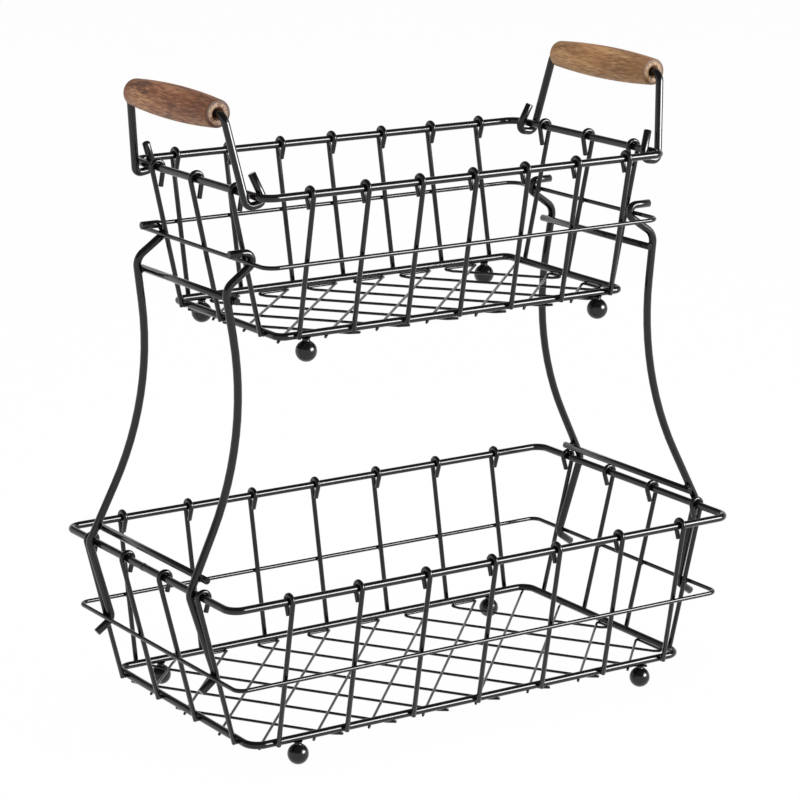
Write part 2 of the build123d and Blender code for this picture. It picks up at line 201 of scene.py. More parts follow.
def weld_skins(spots, normals, width=WELD_WIDTH):
    """Flattened balls: P(a, b) = spot + w/2 sin(a) (e cos(b) + f sin(b)) + t/2 n cos(a).

    n is the way that the wires press. e and f are square to it, and SKEW only has to lie along
    none of the normals. A small flat cap closes each pole.
    """
    spots, normal = np.atleast_2d(spots), unit(np.atleast_2d(np.asarray(normals, float)))
    normal = np.broadcast_to(normal, spots.shape)
    e = unit(np.cross(normal, SKEW))
    f = np.cross(normal, e)
    a = np.linspace(WELD_POLE, np.pi - WELD_POLE, WELD_RINGS)[None, ::-1, None, None]
    b = np.linspace(0, 2 * np.pi, WELD_SIDES, endpoint=False)[None, None, :, None]
    flat = (e[:, None, None] * np.cos(b) + f[:, None, None] * np.sin(b)) * np.sin(a)
    rise = normal[:, None, None] * np.cos(a)
    points = spots[:, None, None] + width / 2 * flat + WELD_THICKNESS / 2 * rise
    quads = grid_faces(WELD_RINGS, WELD_SIDES, False)
    first = np.arange(WELD_SIDES)
    caps = [first[::-1], first + (WELD_RINGS - 1) * WELD_SIDES]
    return [Skin(ball.reshape(-1, 3), quads, caps) for ball in points]


print("a weld bead has", len(weld_skins((0, 0, 0), UP)[0].quads), "quads")

# %% [markdown]
# ## Putting a piece into the scene
# A piece may hold several wires, as the solid it stands for does. The arrays go into one mesh
# in metres, and the piece takes over from the solid model's node and rides on its body.

# %% Piece maker
MATERIALS = {}


def add_piece(name, skins, body, material, replaces):
    """Joins the skins into one mesh, in metres, and places it in the frame."""
    offsets = np.cumsum([0] + [len(s.points) for s in skins])
    points = np.vstack([s.points for s in skins]) * MM
    quads = np.vstack([s.quads + o for s, o in zip(skins, offsets)])
    caps = [c + o for s, o in zip(skins, offsets) for c in s.caps]
    mesh = bpy.data.meshes.new(name)
    mesh.from_pydata(points.tolist(), [], quads.tolist() + [c.tolist() for c in caps])
    smooth = np.ones(len(quads) + len(caps), bool)
    smooth[len(quads):] = False
    mesh.polygons.foreach_set("use_smooth", smooth)
    mesh.update()
    piece = bpy.data.objects.new(name, mesh)
    bpy.context.collection.objects.link(piece)
    mesh.materials.append(MATERIALS[material])
    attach(piece, body)
    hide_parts(replaces)
    print(name, len(skins), "skins,", len(mesh.polygons), "faces")


# %% [markdown]
# ## Colours
# Colours are written as the sRGB hex that a paint chart or a picture gives, and turned to the
# linear light that shaders add up.

# %% Colours
def linear(code):
    """sRGB hex to linear RGBA: c/12.92 below 0.04045, else ((c + 0.055)/1.055)^2.4."""
    c = np.array([int(code[i:i + 2], 16) for i in (1, 3, 5)]) / 255
    c = np.where(c <= 0.04045, c / 12.92, ((c + 0.055) / 1.055) ** 2.4)
    return (*c.tolist(), 1.0)


print("the coat's darkest black is", linear("#080606"), "in linear light")

# %% Node helpers
def node(tree, kind, settings=None, links=None):
    """Adds one node; settings go to its properties or sockets, links join its inputs."""
    made = tree.nodes.new(kind)
    for key, value in (settings or {}).items():
        if isinstance(key, str) and hasattr(made, key):
            setattr(made, key, value)
        else:
            made.inputs[key].default_value = value
    for key, socket in (links or {}).items():
        tree.links.new(socket, made.inputs[key])
    return made


NOISE_LOW, NOISE_HIGH = 0.3, 0.7


def spread(tree, value, least, most):
    """Stretches a noise, which mostly lies between the two values above, from least to most."""
    return node(tree, "ShaderNodeMapRange",
                {"From Min": NOISE_LOW, "From Max": NOISE_HIGH, "To Min": least, "To Max": most},
                {"Value": value})


def colour_ramp(tree, value, stops):
    """A ramp through (place, linear colour) stops."""
    made = node(tree, "ShaderNodeValToRGB", None, {"Fac": value})
    first, last = made.color_ramp.elements
    (first.position, first.color), (last.position, last.color) = stops[0], stops[-1]
    for place, colour in stops[1:-1]:
        made.color_ramp.elements.new(place).color = colour
    return made


def new_material(name):
    """An empty node material with its output, ready for a surface."""
    material = bpy.data.materials.new(name)
    material.use_nodes = True
    material.node_tree.nodes.clear()
    output = material.node_tree.nodes.new("ShaderNodeOutputMaterial")
    MATERIALS[name] = material
    return material.node_tree, output


# %% [markdown]
# ## Black powder coat
# The wires are drawn steel, sprayed with black polyester powder and baked at about 190 C. The
# melt levels into a gloss film with a faint orange peel, ripples about 1.5 mm apart and a few
# microns high. The eye gets near black, a sharp white line where a wire mirrors a lamp, and a
# soft grey middle where it mirrors the table. The tone and the gloss drift a little over some
# 14 mm, as the melt does not level evenly.

# %% Coat material
PEEL, PEEL_HEIGHT, PEEL_STRENGTH = 1.6 * MM, 0.03 * MM, 0.06
CLOUD, DARK_CLOUD, PALE_CLOUD = 14 * MM, 0.3, 0.75
COAT_IOR, COAT_SMOOTHEST, COAT_ROUGHEST = 1.47, 0.12, 0.18
tree, output = new_material("gloss_black_powder_coat")
place = node(tree, "ShaderNodeTexCoord")
cloud = node(tree, "ShaderNodeTexNoise", {"Scale": 1 / CLOUD, "Detail": 3.0, "Roughness": 0.6},
             {"Vector": place.outputs["Object"]})
tint = colour_ramp(tree, cloud.outputs["Fac"],
                   [(DARK_CLOUD, linear("#080606")), (PALE_CLOUD, linear("#110d0d"))])
gloss = spread(tree, cloud.outputs["Fac"], COAT_SMOOTHEST, COAT_ROUGHEST)
peel = node(tree, "ShaderNodeTexNoise", {"Scale": 1 / PEEL, "Detail": 1.0},
            {"Vector": place.outputs["Object"]})
bump = node(tree, "ShaderNodeBump", {"Strength": PEEL_STRENGTH, "Distance": PEEL_HEIGHT},
            {"Height": peel.outputs["Fac"]})
coat = node(tree, "ShaderNodeBsdfPrincipled", {"IOR": COAT_IOR},
            {"Base Color": tint.outputs["Color"], "Roughness": gloss.outputs["Result"],
             "Normal": bump.outputs["Normal"]})
tree.links.new(coat.outputs["BSDF"], output.inputs["Surface"])
print("coat ripple", PEEL, "m")

# %% [markdown]
# ## Turned wood
# Each grip is a barrel turned on a lathe from a square of tropical hardwood, bored, sanded and
# wiped with a thin lacquer. The grain runs along the barrel, because that is how the blank is
# cut: long narrow pores about 0.3 mm wide, drawn wider here to show, over slow bands of colour
# from the growth rings. The barrel darkens towards its ends, where the lacquer soaks in and the
# rounded edge is burnished. Round the mouth a ring of raw end grain stays pale, with the pores
# as dots. The two blanks came from different boards, one red-brown and one tan.

# %% Sizes of a grip, its grain and its two finishes
GRIP_LENGTH, GRIP_MIDDLE, GRIP_END = 98.0, 20.3, 16.3
GRIP_EDGE, GRIP_MOUTH, GRIP_MOUTH_DEPTH = 1.2, 7.6, 1.4
PORE_WIDTH, PORE_LENGTH, PORE_HEIGHT = 0.8 * MM, 8 * MM, 0.12 * MM
BAND_WIDTH, BAND_LENGTH = 7 * MM, 60 * MM
BLOTCHES_PER_METRE, END_SPECK = 45.0, 1.1 * MM
Finish = namedtuple("Finish", "name slot dark middle light patch pale")
RED_BROWN = Finish("red_brown_turned_wood", "red_brown_wood",
                   "#54331f", "#895b3f", "#b3855e", "#7f4b31", "#c3a485")
TAN = Finish("tan_turned_wood", "tan_wood", "#785434", "#a0774f", "#c59c6d", "#a8764a", "#cdae8a")
print("pores drawn", PORE_WIDTH, "m wide and", PORE_LENGTH, "m long")

# %% Long grain on the barrel
PORE_DEPTH, BAND_LEAST, BAND_MOST = 0.75, 0.05, 0.33
DARK_AT, MIDDLE_AT, LIGHT_AT = 0.43, 0.56, 0.7
BLOTCH_FROM, BLOTCH_TO, BLOTCH_SHARE = 0.48, 0.68, 0.6
print("growth bands", BAND_WIDTH, "m wide and", BAND_LENGTH, "m long")


def blend(tree, share, under, over):
    """Colour under where share is 0, over where it is 1. Each is a socket or a fixed colour."""
    fixed, linked = {}, {"Fac": share}
    for key, colour in (("Color1", under), ("Color2", over)):
        (fixed if isinstance(colour, tuple) else linked)[key] = colour
    return node(tree, "ShaderNodeMixRGB", fixed, linked).outputs["Color"]


def grain_noise(tree, centred, width, length, settings):
    """Noise whose spots are this wide across the bar and this long along it."""
    scaled = node(tree, "ShaderNodeMapping", {"Scale": (1 / width, 1 / length, 1 / width)},
                  {"Vector": centred})
    made = node(tree, "ShaderNodeTexNoise", {"Scale": 1.0, **settings},
                {"Vector": scaled.outputs["Vector"]})
    return made.outputs["Fac"]


def long_grain(tree, place, centred, finish):
    """Pores over growth bands, then blotches of a second tone. Gives the colour and the pores."""
    band = grain_noise(tree, centred, BAND_WIDTH, BAND_LENGTH, {"Detail": 4.0, "Distortion": 0.6})
    pore = grain_noise(tree, centred, PORE_WIDTH, PORE_LENGTH, {"Detail": 2.0, "Roughness": 0.55})
    slow = spread(tree, band, BAND_LEAST, BAND_MOST)
    grain = node(tree, "ShaderNodeMath", {"operation": "MULTIPLY_ADD", 1: PORE_DEPTH},
                 {0: pore, 2: slow.outputs["Result"]})
    tone = colour_ramp(tree, grain.outputs["Value"],
                       [(DARK_AT, linear(finish.dark)), (MIDDLE_AT, linear(finish.middle)),
                        (LIGHT_AT, linear(finish.light))])
    blotch = node(tree, "ShaderNodeTexNoise", {"Scale": BLOTCHES_PER_METRE, "Detail": 3.0},
                  {"Vector": place})
    patchy = node(tree, "ShaderNodeMapRange",
                  {"From Min": BLOTCH_FROM, "From Max": BLOTCH_TO, "To Max": BLOTCH_SHARE},
                  {"Value": blotch.outputs["Fac"]})
    return blend(tree, patchy.outputs["Result"], tone.outputs["Color"], linear(finish.patch)), pore


# %% End grain round the mouths
SPECK_FROM, SPECK_TO = 0.4, 0.6
RING_SOFT_SHARE, BURNISH_SHARE, BURNISH_SOFT_SHARE = 0.04, 0.7, 0.1
NONE, ALL = (0, 0, 0, 1), (1, 1, 1, 1)
print("pale ring from", round(GRIP_MOUTH / GRIP_END, 2), "to", BURNISH_SHARE, "of the end's radius")


def end_grain(tree, place, centred, finish):
    """A pale speckled ring from the mouth to the burnished edge, by share of the end's radius."""
    speck = node(tree, "ShaderNodeTexNoise", {"Scale": 1 / END_SPECK, "Detail": 1.0}, {"Vector": place})
    speckled = colour_ramp(tree, speck.outputs["Fac"],
                           [(SPECK_FROM, linear(finish.middle)), (SPECK_TO, linear(finish.pale))])
    across = node(tree, "ShaderNodeMapping", {"Scale": (2 / (GRIP_END * MM), 0.0, 2 / (GRIP_END * MM))},
                  {"Vector": centred})
    radius = node(tree, "ShaderNodeVectorMath", {"operation": "LENGTH"}, {0: across.outputs["Vector"]})
    mouth = GRIP_MOUTH / GRIP_END
    ring = colour_ramp(tree, radius.outputs["Value"],
                       [(mouth, NONE), (mouth + RING_SOFT_SHARE, ALL), (BURNISH_SHARE, ALL),
                        (BURNISH_SHARE + BURNISH_SOFT_SHARE, NONE), (1.0, NONE)])
    return blend(tree, ring.outputs["Color"], linear(finish.dark), speckled.outputs["Color"])


# %% Wood material
WOOD_IOR, WOOD_ROUGHNESS, PORE_STRENGTH = 1.48, 0.6, 0.3
END_DARKENING, END_SOFT = 0.35, 0.3


def turned_wood(finish, centre):
    """Long grain that darkens towards the ends, and end grain from the rounded edge inwards."""
    tree, output = new_material(finish.name)
    place = node(tree, "ShaderNodeTexCoord").outputs["Object"]
    centred = node(tree, "ShaderNodeMapping", {"Location": tuple(-c for c in centre)},
                   {"Vector": place}).outputs["Vector"]
    side, pore = long_grain(tree, place, centred, finish)
    axes = node(tree, "ShaderNodeSeparateXYZ", None, {"Vector": centred})
    along = node(tree, "ShaderNodeMath", {"operation": "ABSOLUTE"}, {0: axes.outputs["Y"]})
    half = GRIP_LENGTH / 2
    darker = node(tree, "ShaderNodeMapRange",
                  {"From Min": half / 2 * MM, "From Max": half * MM, "To Max": END_DARKENING},
                  {"Value": along.outputs["Value"]})
    barrel = blend(tree, darker.outputs["Result"], side, linear(finish.dark))
    at_end = node(tree, "ShaderNodeMapRange",
                  {"From Min": (half - GRIP_EDGE) * MM, "From Max": (half - END_SOFT) * MM},
                  {"Value": along.outputs["Value"]})
    colour = blend(tree, at_end.outputs["Result"], barrel, end_grain(tree, place, centred, finish))
    bump = node(tree, "ShaderNodeBump", {"Strength": PORE_STRENGTH, "Distance": PORE_HEIGHT},
                {"Height": pore})
    wood = node(tree, "ShaderNodeBsdfPrincipled", {"IOR": WOOD_IOR, "Roughness": WOOD_ROUGHNESS},
                {"Base Color": colour, "Normal": bump.outputs["Normal"]})
    tree.links.new(wood.outputs["BSDF"], output.inputs["Surface"])
    print(finish.name, "has", len(tree.nodes), "nodes")


# %% [markdown]
# ## Rims, hoops and base frames
# Each basket has three level loops. Two of heavy wire are its rim and its base frame, and one
# of thin wire runs round the outside of the wall wires, part of the way down. Each was bent
# from one length and butt welded. The picture shows the ring of that weld on the lower rim's
# left run, so both rims have it there.

# %% Where the wall wires run
def wall_run(basket, inset):
    """The wall wire's line beside rim and base, in a plane square to the rim.

    o points outward and u up from the rim's centre. The leg touches the outside of the rim
    wire and of the base wire. Gives the reach from the rim's centre, the angle of the leg's
    outward normal, and the leg's top and bottom.
    """
    reach = np.hypot(inset, basket.depth)
    at_rim = (RIM_WIRE + WALL_WIRE) / 2 + WELD_GAP
    at_base = (BASE_WIRE + WALL_WIRE) / 2 + WELD_GAP
    normal = np.arctan2(-inset, basket.depth) - np.arcsin((at_rim - at_base) / reach)
    out = np.array([np.cos(normal), np.sin(normal)])
    return at_rim, normal, at_rim * out, np.array([-inset, -basket.depth]) + at_base * out


def insets(basket):
    """How far the base frame's ends and its sides lie inside the rim's."""
    return (basket.rim_length - basket.base_length) / 2, (basket.rim_width - basket.base_width) / 2


def hoop_setback(basket, inset):
    """How far the hoop's centre line lies inside the rim's, as it touches the wall wires."""
    _, normal, top, bottom = wall_run(basket, inset)
    outer = top + ((WALL_WIRE + HOOP_WIRE) / 2 + WELD_GAP) * np.array([np.cos(normal), np.sin(normal)])
    down = unit(bottom - top)
    return -(outer + down * ((-basket.hoop_drop - outer[1]) / down[1]))[0]


def hoop_size(basket):
    """Length and width of the hoop's centre line."""
    end_inset, side_inset = insets(basket)
    return (basket.rim_length - 2 * hoop_setback(basket, end_inset),
            basket.rim_width - 2 * hoop_setback(basket, side_inset))


print("hoop centre lines", hoop_size(LOWER), hoop_size(UPPER))

# %% Loops
BLACK = ("gloss_black_powder_coat", "black_coat")


def add_wires(node_name, skins, body="stand"):
    """A piece of black wire that stands for the solid of the same name."""
    add_piece(node_name + "_wire", skins, body, BLACK[0], node_name)


SEAM_WIDTH, SEAM_SWELL, SEAM_SHARE = 2.2, 0.35, 0.02


def butt_weld(length, width, height, wire):
    """A short sleeve round the wire where the ends of a loop meet, on its left run."""
    y = SEAM_SHARE * width / 2
    line = np.array([(-length / 2, y + half, height) for half in (-SEAM_WIDTH / 2, SEAM_WIDTH / 2)])
    return wire_skin(line, wire + SEAM_SWELL, UP, HEAVY_SIDES)


for basket in (LOWER, UPPER):
    rim_z = basket.base_z + basket.depth
    rim = loop_line(basket.rim_length, basket.rim_width, basket.rim_corner, rim_z)
    hoop = loop_line(*hoop_size(basket), basket.hoop_corner, rim_z - basket.hoop_drop)
    base = loop_line(basket.base_length, basket.base_width, basket.base_corner, basket.base_z)
    rim_seam = butt_weld(basket.rim_length, basket.rim_width, rim_z, RIM_WIRE)
    add_wires(basket.name + "_rim", [wire_skin(rim, RIM_WIRE, UP, HEAVY_SIDES, True), rim_seam])
    add_wires(basket.name + "_hoop", [wire_skin(hoop, HOOP_WIRE, UP, HOOP_SIDES, True)])
    add_wires(basket.name + "_base_frame", [wire_skin(base, BASE_WIRE, UP, HEAVY_SIDES, True)])

# %% [markdown]
# ## Wall wires
# The wall wires are bent last: the straight leg is welded down the outside of the base frame,
# and its top end is folded over the rim and closed until its cut tip rests against the leg.

# %% The line of a wall wire
WALL_TAIL, SIDE_HOOK_DROP = 0.7, 8.75
TIP_ROOM, HOOK_STEPS = 0.15, 15


def hooked_lines(basket, inset, hook_drop, places, frame_of):
    """One centre line per wall wire: cut end, leg, arc over the rim, short inner leg.

    In the plane square to the rim the arc is r (cos(t), sin(t)) about the rim's own centre. It
    starts at the leg's normal. The inner leg is tangent to it, so for a tip at distance d and
    angle b from the centre the arc ends at b - arccos(r / d).
    """
    at_rim, normal, top, bottom = wall_run(basket, inset)
    down = unit(bottom - top)
    leg = top + down * ((-hook_drop - top[1]) / down[1])
    tip = leg - (WALL_WIRE + TIP_ROOM, 0)
    last = np.arctan2(-tip[1], -tip[0]) + np.pi - np.arccos(at_rim / np.linalg.norm(tip))
    t = np.linspace(normal, last, HOOK_STEPS)
    arc = at_rim * np.stack([np.cos(t), np.sin(t)], 1)
    flat = np.vstack([bottom + down * WALL_TAIL, arc, tip])
    return [frame_of(flat, p) for p in places]


hook = hooked_lines(LOWER, insets(LOWER)[1], SIDE_HOOK_DROP, (0.0,), lambda flat, p: flat)[0]
print("a lower side wire is", np.linalg.norm(np.diff(hook, axis=0), axis=1).sum().round(1), "mm long")

# %% Places along a wall
def spread_out(count, pitch):
    """Evenly spaced places about zero."""
    return (np.arange(count) - (count - 1) / 2) * pitch


def side_frame(basket, side):
    """Turns flat (o, u) points into points on the front (side -1) or back (side 1)."""
    def place(flat, x):
        y = side * (basket.rim_width / 2 + flat[:, 0])
        return np.stack([np.full(len(flat), x), y, basket.base_z + basket.depth + flat[:, 1]], 1)
    return place


def end_frame(basket, end):
    """Turns flat (o, u) points into points on the left (end -1) or right (end 1)."""
    def place(flat, y):
        x = end * (basket.rim_length / 2 + flat[:, 0])
        return np.stack([x, np.full(len(flat), y), basket.base_z + basket.depth + flat[:, 1]], 1)
    return place


print("lower wall wires at", spread_out(LOWER.side_count, LOWER.side_pitch), "mm along X")

# %% Wall wires and their welds
def wall_welds(basket, inset, places, frame_of):
    """Where each wall wire touches the hoop and the base frame, and which way it presses."""
    _, normal, top, bottom = wall_run(basket, inset)
    out = np.array([np.cos(normal), np.sin(normal)])
    down = unit(bottom - top)
    at_hoop = top + down * ((-basket.hoop_drop - top[1]) / down[1]) + out * WALL_WIRE / 2
    at_base = bottom - out * WALL_WIRE / 2
    flat = np.array([at_hoop, at_base])
    spots = np.vstack([frame_of(flat, p) for p in places])
    heading = frame_of(np.array([[0, 0], out]), 0)
    return weld_skins(spots, heading[1] - heading[0])


for basket in (LOWER, UPPER):
    end_inset, side_inset = insets(basket)
    along = spread_out(basket.side_count, basket.side_pitch)
    across = spread_out(basket.end_count, basket.end_pitch)
    for word, side in (("front", -1), ("back", 1)):
        to_side = side_frame(basket, side)
        lines = hooked_lines(basket, side_inset, SIDE_HOOK_DROP, along, to_side)
        skins = [wire_skin(line, WALL_WIRE, (1, 0, 0), WALL_SIDES) for line in lines]
        add_wires(f"{basket.name}_{word}_wires", skins + wall_welds(basket, side_inset, along, to_side))
    for word, end in (("left", -1), ("right", 1)):
        to_end = end_frame(basket, end)
        lines = hooked_lines(basket, end_inset, basket.end_hook_drop, across, to_end)
        skins = [wire_skin(line, WALL_WIRE, (0, 1, 0), WALL_SIDES) for line in lines]
        add_wires(f"{basket.name}_{word}_wires", skins + wall_welds(basket, end_inset, across, to_end))

# %% [markdown]
# ## Floor
# The floor is a slanted lattice of thin wire under the base frame. One family of wires rises
# to the right, the other falls to the right. Under the frame all lie at one height and are
# welded to it. A short way in, the rising ones are set up and the falling ones down by half a
# wire, so that they pass each other. A wire often serves in both families: it turns back in a
# short run along the back or the right frame. The slopes were read from the picture, and this
# lattice is closer to it than the plainer one of the solids.

# %% Where one floor wire runs
Lattice = namedtuple("Lattice", "rise_offset rise_pitch rise_slope fall_offset fall_pitch fall_slope")
LATTICES = {
    "lower": Lattice(rise_offset=0.5, rise_pitch=38.1, rise_slope=1.1,
                     fall_offset=-1.2, fall_pitch=37.25, fall_slope=1.52),
    "upper": Lattice(rise_offset=3.8, rise_pitch=34.8, rise_slope=1.035,
                     fall_offset=18.5, fall_pitch=34.2, fall_slope=1.23),
}
FLOOR_CUT = (BASE_WIRE - FLOOR_WIRE) / 2
FLOOR_DIP, FLOOR_TURN, FLOOR_SHORTEST, FOOT_ROOM = 7.0, 12.0, 32.0, 3.7


def corner_nip(basket):
    """How far the middle of the base frame's rounded corner lies inside the square one."""
    return basket.base_corner * (1 - np.sqrt(0.5))


def rising_ends(basket, lattice, k):
    """Where y = slope (x - x0) meets the front or left frame, and the back or right one."""
    a, b, slope = basket.base_length / 2, basket.base_width / 2, lattice.rise_slope
    nip = corner_nip(basket)
    x0 = lattice.rise_offset + lattice.rise_pitch * k
    start = (x0 - (b + FLOOR_CUT) / slope, -b - FLOOR_CUT)
    if start[0] < basket.base_corner - a:
        start = (-a - FLOOR_CUT, slope * (-a - FLOOR_CUT - x0))
        if start[1] < basket.base_corner - b:
            start = (max(-a, x0 + (nip - b) / slope), nip - b)
    end = (x0 + b / slope, b)
    if end[0] > a - nip:
        end = (a, slope * (a - x0))
        if end[1] > b - nip:
            end = (x0 + (b - nip) / slope, b - nip)
    return start, end


def falling_ends(basket, lattice, k):
    """Where y = -slope (x - x0) meets the back or left frame, and the front or right one."""
    a, b, slope = basket.base_length / 2, basket.base_width / 2, lattice.fall_slope
    nip = corner_nip(basket)
    x0 = lattice.fall_offset + lattice.fall_pitch * k
    start = (x0 - b / slope, b)
    if start[0] < basket.base_corner - a:
        start = (-a, slope * (x0 + a))
        if start[1] > b - nip:
            start = (x0 - (b - nip) / slope, b - nip)
    end = (x0 + (b + FLOOR_CUT) / slope, -b - FLOOR_CUT)
    if end[0] > a - basket.base_corner:
        end = (a, slope * (x0 - a))
        if end[1] < basket.base_corner - b:
            end = (a - nip, slope * (x0 - a + nip))
    return start, end


def dipped(start, end, seat, height):
    """Four corners: both ends at the frame's height, and the set a short way in from each."""
    ends = np.array([start, end])
    step = unit(ends[1] - ends[0]) * FLOOR_DIP
    return [(*ends[0], seat), (*(ends[0] + step), height),
            (*(ends[1] - step), height), (*ends[1], seat)]


print("a rising wire's ends", rising_ends(LOWER, LATTICES["lower"], 0))

# %% [markdown]
# Which wires are one length is a matter of distance: a rising wire turns at the back frame
# where a falling one starts within a pitch to the left of its end, and no foot is in the way.
# A falling one turns at the right frame where a rising one ends within a pitch behind it.

# %% Floor wires
FLOOR_BEND, FLOOR_STEPS, BEND_ROOM_SHARE = 2.5, 6, 0.48


def floor_lines(basket):
    """The corner points of each length of floor wire, from cut end to cut end."""
    lattice = LATTICES[basket.name]
    a, b = basket.base_length / 2, basket.base_width / 2
    seat = basket.base_z - (BASE_WIRE + FLOOR_WIRE) / 2 - WELD_GAP
    set_off = (FLOOR_WIRE + WELD_GAP) / 2
    feet = (-basket.foot_span / 2, basket.foot_span / 2)
    reach = int(2 * a / lattice.fall_pitch)
    rising, falling = {}, {}
    for k in range(-reach, reach + 1):
        start, end = rising_ends(basket, lattice, k)
        if end[0] - start[0] > FLOOR_SHORTEST:
            rising[k] = dipped(start, end, seat, seat + set_off)
        start, end = falling_ends(basket, lattice, k)
        if end[0] - start[0] > FLOOR_SHORTEST and start[0] < feet[1]:
            falling[k] = dipped(start, end, seat, seat - set_off)
    at_back = {k: j for k, line in rising.items() for j, other in falling.items()
               if line[-1][1] == b == other[0][1]
               and FLOOR_TURN < line[-1][0] - other[0][0] < lattice.fall_pitch
               and not any(other[0][0] - FOOT_ROOM < x < line[-1][0] + FOOT_ROOM for x in feet)}
    at_right = {k: j for k, line in falling.items() for j, other in rising.items()
                if line[-1][0] == a == other[-1][0]
                and FLOOR_TURN / 2 < other[-1][1] - line[-1][1] < lattice.rise_pitch * lattice.rise_slope}

    def after_falling(k):
        return falling[k] + (rising[at_right[k]][::-1] if k in at_right else [])

    lines = [rising[k] + (after_falling(at_back[k]) if k in at_back else [])
             for k in rising if k not in at_right.values()]
    return lines + [after_falling(k) for k in falling if k not in at_back.values()]


def floor_bends(line):
    """The bend at each inner corner, smaller where half a neighbouring run leaves less room."""
    runs = np.diff(line, axis=0)
    length = np.linalg.norm(runs, axis=1)
    cosine = (unit(runs[:-1]) * unit(runs[1:])).sum(1)
    room = np.minimum(length[:-1], length[1:]) * BEND_ROOM_SHARE
    return np.minimum(FLOOR_BEND, room / np.tan(np.arccos(cosine) / 2))


for basket in (LOWER, UPPER):
    lines = [np.array(line) for line in floor_lines(basket)]
    print(basket.name, "floor corners", [len(line) for line in lines])
    curves = [bent(line, floor_bends(line), FLOOR_STEPS) for line in lines]
    add_wires(basket.name + "_floor", [wire_skin(curve, FLOOR_WIRE, UP, FLOOR_SIDES) for curve in curves])

# %% [markdown]
# ## Ball feet
# Each foot is a half-inch steel ball on a short stem, welded under the base frame. The coat
# fillets the neck, so the profile turns smoothly from ball to stem.

# %% Feet
FOOT_STEM, FOOT_SIDES, BALL_STEPS = 4.6, 28, 22
BALL_START, BALL_STOP = 0.08, 0.12
NECK_FILLET, NECK_OVERLAP = 0.35, 0.05
SEAT_FILLET, SEAT_SWELL, SEAT_HEIGHT = 0.5, 0.1, 0.4


def foot_skin(x, y, basket):
    """A profile (r, z) turned about the foot's own upright axis: ball arc, neck, stem.

    The arc begins at a small flat under the ball and stops short of the stem. Short slopes at
    both ends of the neck are the fillets of the coat.
    """
    under = basket.base_z - BASE_WIRE / 2 + WELD_GAP
    centre = basket.base_z - FOOT_HEIGHT + BALL / 2
    stem = FOOT_STEM / 2
    meets = np.arccos(stem / (BALL / 2))
    top = centre + BALL / 2 * np.sin(meets)
    t = np.linspace(BALL_START - np.pi / 2, meets - BALL_STOP, BALL_STEPS)
    arc = np.stack([BALL / 2 * np.cos(t), centre + BALL / 2 * np.sin(t)], 1)
    neck = [(stem + NECK_FILLET, top - NECK_OVERLAP), (stem, top + NECK_FILLET),
            (stem + SEAT_SWELL, under - SEAT_HEIGHT), (stem + SEAT_FILLET, under)]
    r, z = np.vstack([arc, neck]).T
    a = np.linspace(0, 2 * np.pi, FOOT_SIDES, endpoint=False)
    points = np.stack([x + r[:, None] * np.cos(a), y + r[:, None] * np.sin(a),
                       np.broadcast_to(z[:, None], (len(r), FOOT_SIDES))], -1)
    first = np.arange(FOOT_SIDES)
    caps = [first[::-1], first + FOOT_SIDES * (len(r) - 1)]
    return Skin(points.reshape(-1, 3), grid_faces(len(r), FOOT_SIDES, False), caps)


for basket in (LOWER, UPPER):
    corners = [(x * basket.foot_span / 2, y * basket.base_width / 2) for x in (-1, 1) for y in (-1, 1)]
    add_wires(basket.name + "_feet", [foot_skin(x, y, basket) for x, y in corners])

# %% [markdown]
# ## Uprights
# Each upright is one length of heavy wire, bent in one plane. It curls under the lower hoop,
# hugs the outside of the lower rim, sweeps up and inwards, juts out below the upper basket
# and curls over the upper hoop, so that it cannot slip either way once it is welded.

# %% Upright line
STAND_SPREAD_LOW, STAND_SPREAD_HIGH = 128.7, 104.8
STAND_TIP, STAND_TAIL = 10.3, 9.0
STAND_TOP_CURL, STAND_TOP_CURL_END = 4.5, 235.0
STAND_SHOULDER_BEND, STAND_SHOULDER_OUT, STAND_SHOULDER_DROP = 9.0, 13.1, 19.7
STAND_NECK_HEADING, STAND_WAIST_BEND, STAND_FLARE_HEADING = -98.0, 190.0, -63.5
STAND_RIM_BEND = 8.0
STAND_LOW_CURL, STAND_LOW_CURL_END, STAND_LOW_CURL_START = 5.5, 234.0, 207.0


def polar(radius, degrees):
    """The point at this radius and angle from the first axis."""
    return radius * np.array([np.cos(np.radians(degrees)), np.sin(np.radians(degrees))])


def meet(run, other):
    """The corner where two straight runs cross, each given as a point and a heading."""
    (p, a), (q, b) = run, other
    d, e = polar(1, a), polar(1, b)
    return p + d * ((q[0] - p[0]) * e[1] - (q[1] - p[1]) * e[0]) / (d[0] * e[1] - d[1] * e[0])


